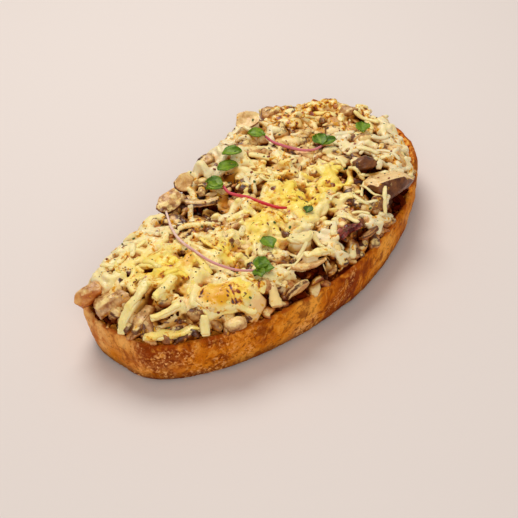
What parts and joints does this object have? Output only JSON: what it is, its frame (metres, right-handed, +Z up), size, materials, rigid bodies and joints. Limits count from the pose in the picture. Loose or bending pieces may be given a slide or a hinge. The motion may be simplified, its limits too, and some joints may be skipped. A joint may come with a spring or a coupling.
{
  "type": "mushroom toast",
  "caption": "Long toasted bread slice under a heap of chopped mushrooms and melted grated cheese, with a few microgreens.",
  "frame": {"origin": "middle of the slice's flat base", "axes": "+X along the slice to its far, wider end, +Y across it to the back edge, +Z up"},
  "size_m": [0.2162, 0.107, 0.0518],
  "materials": {
    "crust": "toasted, matt, finely rough",
    "heap": "creamy, soft gloss",
    "pale_mushroom": "cooked, soft gloss",
    "tan_mushroom": "browned, soft gloss",
    "brown_mushroom": "cooked skin, glossy",
    "onion": "cooked, glossy",
    "cheese": "melted, soft gloss",
    "red_stem": "fresh, smooth",
    "pink_stem": "fresh, smooth",
    "leaf": "fresh, satin"
  },
  "bodies": {
    "root": {"bread": "crust", "topping": "heap", "mushroom_end_mass": "pale_mushroom", "mushroom_round": "pale_mushroom", "mushroom_stem": "pale_mushroom", "mushroom_fold": "pale_mushroom", "mushroom_grey_back": "pale_mushroom", "mushroom_bump_back": "pale_mushroom", "mushroom_bump_far": "pale_mushroom", "mushroom_end_chunk": "tan_mushroom", "mushroom_strip": "tan_mushroom", "mushroom_slice_back": "tan_mushroom", "mushroom_slice_tan": "tan_mushroom", "mushroom_slice_edge": "tan_mushroom", "mushroom_curl": "tan_mushroom", "mushroom_end_dark": "brown_mushroom", "brown_slice": "brown_mushroom", "mushroom_cap_piece": "brown_mushroom", "mushroom_dark": "brown_mushroom", "onion_piece": "onion", "cheese_drape": "cheese", "cheese_strip_rim": "cheese", "cheese_drip": "cheese", "cheese_strip_mid": "cheese", "cheese_strip_upper": "cheese", "cheese_strip_front": "cheese", "cheese_fold": "cheese", "cheese_sheet": "cheese", "sprig_red": "red_stem", "sprig_pale": "pink_stem", "sprig_pink": "pink_stem", "leaf_back_bright": "leaf", "leaf_back_far": "leaf", "leaf_far": "leaf", "leaf_front_bright": "leaf", "leaf_dark": "leaf"}
  },
  "joints": []
}
